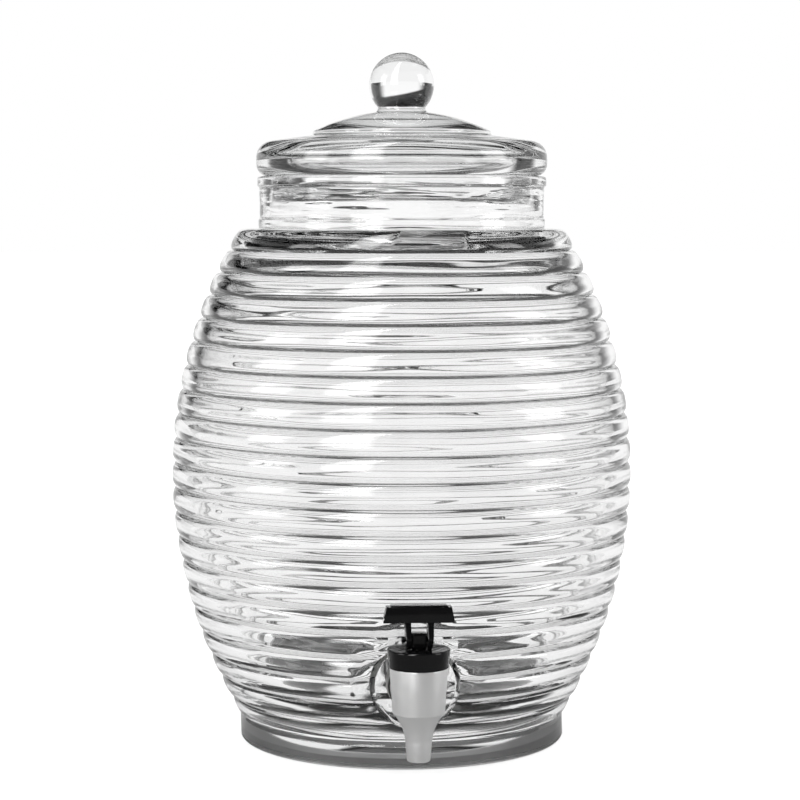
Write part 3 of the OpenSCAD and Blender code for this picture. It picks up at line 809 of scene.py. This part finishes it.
def make_seat_cup():
    """Silicone cup: a plug on the outlet, a bell round the stem and a lip under the bonnet. On the tap it
    shortens as the stem rises; this piece is built at one length."""
    socket_r, neck_r, bell_r, wall = 5.1 * MM, STEM_R + FIT, CHAMBER_R - 0.3 * MM, 1.2 * MM
    plug_r, bell_in_r = socket_r + 2.2 * MM, bell_r - wall
    tip_r, seat_r = OUTLET_R - 0.6 * MM, OUTLET_R - FIT
    neck_z = stem_low.z + 3.1 * MM
    mouth_z = neck_z + 2.2 * MM
    lip_z = tap_high.z
    chamber_slope = CHAMBER_RISE / (CHAMBER_R - OUTLET_R)
    plug_top_z = BARREL_LOW_Z + (plug_r + FIT - OUTLET_R) * chamber_slope
    piece = round_tap("seat_plug", rounded([
        (0, cup_low.z, 0), (tip_r, cup_low.z, 0.3 * MM), (seat_r, BARREL_LOW_Z, 0),
        (plug_r, plug_top_z, 0.3 * MM), (plug_r, mouth_z - wall, 0.4 * MM), (bell_r, BARREL_TOP_Z, 0.4 * MM),
        (bell_r, lip_z, 0.2 * MM), (COLLAR_R, lip_z, 0.3 * MM), (COLLAR_R, cup_high.z, 0.3 * MM),
        (bell_in_r, cup_high.z, 0.3 * MM), (bell_in_r, BARREL_TOP_Z, 0.4 * MM),
        (plug_r - wall, mouth_z, 0.3 * MM), (neck_r, mouth_z, 0.2 * MM), (neck_r, neck_z, 0.2 * MM),
        (socket_r, neck_z, 0.2 * MM), (socket_r, stem_low.z, 0), (0, stem_low.z, 0)], steps=3))
    dress(piece, silicone, "jar", "seat_cup")
    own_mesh(piece)


GRIP_LOW_Z = PIVOT_Z + 9.2 * MM
LEG_IN_X = 4.2 * MM
LEG_LOW_T = 2.3 * MM
LEG_TOP_T = 3.5 * MM
CAM_H = 4.3 * MM
CAM_RATE = STEM_LIFT / math.radians(LEVER_TILT_DEGREES)


def leg_outline():
    """Side of a leg with its cam, as (forward, up) from the pivot."""
    half_top, back, heel_r, cam_steps = 3 * MM, 6.5 * MM, 2 * MM, 12
    top = GRIP_LOW_Z - PIVOT_Z + 0.7 * MM
    heel = arc((heel_r - back, -CAM_H + heel_r), heel_r, 180, 270, 5)
    cam = []
    for k in range(cam_steps + 1):
        tilt = math.radians(LEVER_TILT_DEGREES * k / cam_steps)
        reach = CAM_H + CAM_RATE * tilt
        cam.append((reach * math.sin(tilt) + CAM_RATE * math.cos(tilt),
                    -reach * math.cos(tilt) + CAM_RATE * math.sin(tilt)))
    return [(-half_top, top), (-back, 0)] + heel + cam + [(half_top, top)]


def lever_leg(side):
    """One leg of the lever, thinner at its cam, on the right (1) or left (-1) of the stem."""
    places = [Vector((side * LEG_IN_X, TAP_Y - forward, PIVOT_Z + up)) for forward, up in leg_outline()]
    leg = slab("leg", places, pull=(side * LEG_TOP_T, 0, 0))
    height = GRIP_LOW_Z - BONNET_Z
    for vertex in leg.data.vertices:
        if abs(vertex.co.x) > LEG_IN_X + MM:
            share = min(1, (vertex.co.z - BONNET_Z) / height)
            vertex.co.x = side * (LEG_IN_X + LEG_LOW_T + (LEG_TOP_T - LEG_LOW_T) * share)
    return leg


def draw_in(width, loss, depth_share, z):
    """Makes the picked face of the grip narrower by the loss, and scales its depth to a share."""
    bpy.ops.transform.resize(value=(1 - loss / width, depth_share, 1), center_override=(0, TAP_Y, z))


def make_lever():
    """T-shaped lever: a tapered grip with a raised strip, and two legs that end in cams."""
    grip_w, grip_d, strip = lever_high.x - lever_low.x, 9 * MM, 0.7 * MM
    top_z, facing_up = lever_high.z - strip, 0.9
    piece = block_on_tap(grip_w, grip_d, GRIP_LOW_Z, top_z)
    piece.name = "lever_grip"
    bpy.ops.object.mode_set(mode="EDIT")
    bpy.ops.mesh.select_mode(type="FACE")
    bpy.ops.mesh.select_all(action="DESELECT")
    bpy.ops.object.mode_set(mode="OBJECT")
    for face in piece.data.polygons:
        face.select = face.normal.z > facing_up
    bpy.ops.object.mode_set(mode="EDIT")
    draw_in(grip_w, loss=3.2 * MM, depth_share=0.94, z=top_z)
    bpy.ops.mesh.extrude_region_move(TRANSFORM_OT_translate={"value": (0, 0, 0)})
    draw_in(grip_w, loss=4 * MM, depth_share=0.8, z=top_z)
    bpy.ops.mesh.extrude_region_move(TRANSFORM_OT_translate={"value": (0, 0, strip)})
    draw_in(grip_w, loss=1.4 * MM, depth_share=0.94, z=top_z + strip)
    bpy.ops.mesh.select_mode(type="VERT")
    bpy.ops.object.mode_set(mode="OBJECT")
    for side in (1, -1):
        carve(piece, lever_leg(side), "UNION")
    carve(piece, pin_hole(slack=0.02 * MM), "DIFFERENCE")
    round_edges(piece, 0.45 * MM)
    dress(piece, gloss_black, "lever", "tap_lever")


def make_pin():
    """Pin through the legs and the stem, with a domed head on the left."""
    head_r, head_end = (pin_high.z - pin_low.z) / 2, pin_low.x + 1.8 * MM
    piece = turned("lever_pin", rounded([
        (0, pin_low.x, 0), (head_r, pin_low.x, 0.6 * MM), (head_r, head_end, 0.2 * MM),
        (PIN_R, head_end, 0), (PIN_R, pin_high.x, 0.3 * MM), (0, pin_high.x, 0)]),
        centre=(0, TAP_Y, PIVOT_Z), along=(1, 0, 0), out=(0, 0, 1), turns=((360, 32),))
    dress(piece, gloss_black, "lever", "pivot_pin")


make_jar()
make_lid()
make_tap_body()
make_gaskets()
make_lock_nut()
make_bonnet()
make_stem()
make_seat_cup()
make_lever()
make_pin()


# Camera, floor and light

CAMERA_REACH = 1.3018
CAMERA_Z = 0.2987
CAMERA_TURN = math.radians(3.7)
CAMERA_PITCH = math.radians(4.72)
CAMERA_AIM = math.radians(0.042)

camera_place = (-CAMERA_REACH * math.sin(CAMERA_TURN), -CAMERA_REACH * math.cos(CAMERA_TURN), CAMERA_Z)
bpy.ops.object.camera_add(location=camera_place,
                          rotation=(math.pi / 2 - CAMERA_PITCH, 0, CAMERA_AIM - CAMERA_TURN))
camera = bpy.context.object
camera.data.sensor_width = 36
camera.data.lens = 103.5
bpy.context.scene.camera = camera


def make_floor():
    """White floor that keeps a pale shadow of the jar. Through glass it shows a painted shadow, a dark ring
    under the foot, and in reflections painted shade makes it darker in front."""
    dark, white = 0.02, 0.96
    camera_glow, paint = 0.65, (0.8, 0.8, 0.8, 1)
    bpy.ops.mesh.primitive_plane_add(size=30, location=(0, 0, -0.2 * MM))
    floor = bpy.context.object
    floor.name = "floor"
    finish = bpy.data.materials.new("floor")
    finish.use_nodes = True
    tree = finish.node_tree
    tree.nodes.remove(tree.nodes["Principled BSDF"])
    path = tree.nodes.new("ShaderNodeLightPath").outputs
    place = tree.nodes.new("ShaderNodeTexCoord")
    away = tree.nodes.new("ShaderNodeVectorMath")
    away.operation = "DISTANCE"
    away.inputs[1].default_value = (0, -5 * MM, 0)
    tree.links.new(place.outputs["Object"], away.inputs[0])
    # Painted shadow for glass: the floor's emission is dark in a ring under the foot and white inside and
    # outside it.
    ring_in = fade(tree, away.outputs["Value"], start=43 * MM, end=53 * MM, before=white, after=dark)
    ring_out = fade(tree, away.outputs["Value"], start=112 * MM, end=122 * MM, before=dark, after=white)
    under = reckon(tree, "MAXIMUM", ring_in, ring_out)
    # Painted shade for reflections: the floor's emission is dim in front of the jar and bright behind it.
    behind = fade(tree, split_place(tree, "Object")["Y"], start=-0.15, end=0.3, before=0.25, after=0.9)
    plain = tree.nodes.new("ShaderNodeEmission")
    tree.links.new(reckon(tree, "MULTIPLY", path["Is Camera Ray"], camera_glow), plain.inputs["Strength"])
    matt = tree.nodes.new("ShaderNodeBsdfDiffuse")
    matt.inputs["Color"].default_value = paint
    lit = tree.nodes.new("ShaderNodeAddShader")
    tree.links.new(plain.outputs[0], lit.inputs[0])
    tree.links.new(matt.outputs[0], lit.inputs[1])
    # Emission that carries the painted shadow under the foot for glass and the painted shade in front for
    # reflections.
    painted_shade_glow = tree.nodes.new("ShaderNodeEmission")
    tree.links.new(mix(tree, path["Is Transmission Ray"], behind, under), painted_shade_glow.inputs["Strength"])
    by_glass_or_mirror = reckon(tree, "MAXIMUM", path["Is Glossy Ray"], path["Is Transmission Ray"])
    seen = tree.nodes.new("ShaderNodeMixShader")
    tree.links.new(by_glass_or_mirror, seen.inputs[0])
    tree.links.new(lit.outputs[0], seen.inputs[1])
    tree.links.new(painted_shade_glow.outputs[0], seen.inputs[2])
    tree.links.new(seen.outputs[0], tree.nodes["Material Output"].inputs["Surface"])
    floor.data.materials.append(finish)


def make_world():
    """A room that the camera and matt surfaces see as plain white. Glass sees a dark ceiling, and dark
    upright panels between white ones, which draw its dark lines. Reflections see it white behind the jar and
    dark in front, with bright strips."""
    panel_count, ceiling_slope, strip_turn = 4, 0.2, math.radians(117)
    world = bpy.data.worlds.new("studio")
    bpy.context.scene.world = world
    world.use_nodes = True
    tree = world.node_tree
    path = tree.nodes.new("ShaderNodeLightPath").outputs
    way = split_place(tree, "Generated")
    around = reckon(tree, "ADD", reckon(tree, "ARCTAN2", way["Y"], way["X"]), CAMERA_TURN)
    panel_wave = reckon(tree, "COSINE", reckon(tree, "MULTIPLY", around, panel_count))
    panels = fade(tree, panel_wave, start=-0.8, end=0.2, before=0.02, after=1.02)
    height = reckon(tree, "SUBTRACT", way["Z"], reckon(tree, "MULTIPLY", way["X"], ceiling_slope))
    ceiling = fade(tree, height, start=0.20, end=0.25, before=1, after=0.01)
    through = reckon(tree, "MULTIPLY", panels, ceiling)
    back = fade(tree, way["Y"], start=0.1, end=0.35, before=0.03, after=0.9)
    back = reckon(tree, "MULTIPLY", back, ceiling)
    sides = reckon(tree, "MULTIPLY", fade(tree, way["Y"], start=-0.5, end=-0.38, before=0, after=6),
                   fade(tree, way["Y"], start=-0.16, end=-0.04, before=1, after=0))
    sides = reckon(tree, "MULTIPLY", sides, fade(tree, way["Z"], start=0.35, end=0.6, before=1, after=0))
    from_left = reckon(tree, "COSINE", reckon(tree, "ADD", around, strip_turn))
    strips = reckon(tree, "ADD", sides, fade(tree, from_left, start=0.965, end=0.995, before=0, after=8))
    reflected = reckon(tree, "ADD", back, strips)
    mirror = reckon(tree, "SUBTRACT", path["Is Glossy Ray"], path["Is Transmission Ray"])
    plain = reckon(tree, "MAXIMUM", path["Is Camera Ray"], path["Is Diffuse Ray"])
    light = mix(tree, plain, mix(tree, mirror, through, reflected), 1)
    tree.links.new(light, tree.nodes["Background"].inputs["Strength"])
    tree.nodes["Background"].inputs["Color"].default_value = (1, 1, 1, 1)


make_floor()
make_world()

bpy.context.scene.view_settings.view_transform = "Standard"
cycles = bpy.context.scene.cycles
cycles.max_bounces = 32
cycles.transmission_bounces = 32
cycles.glossy_bounces = 8
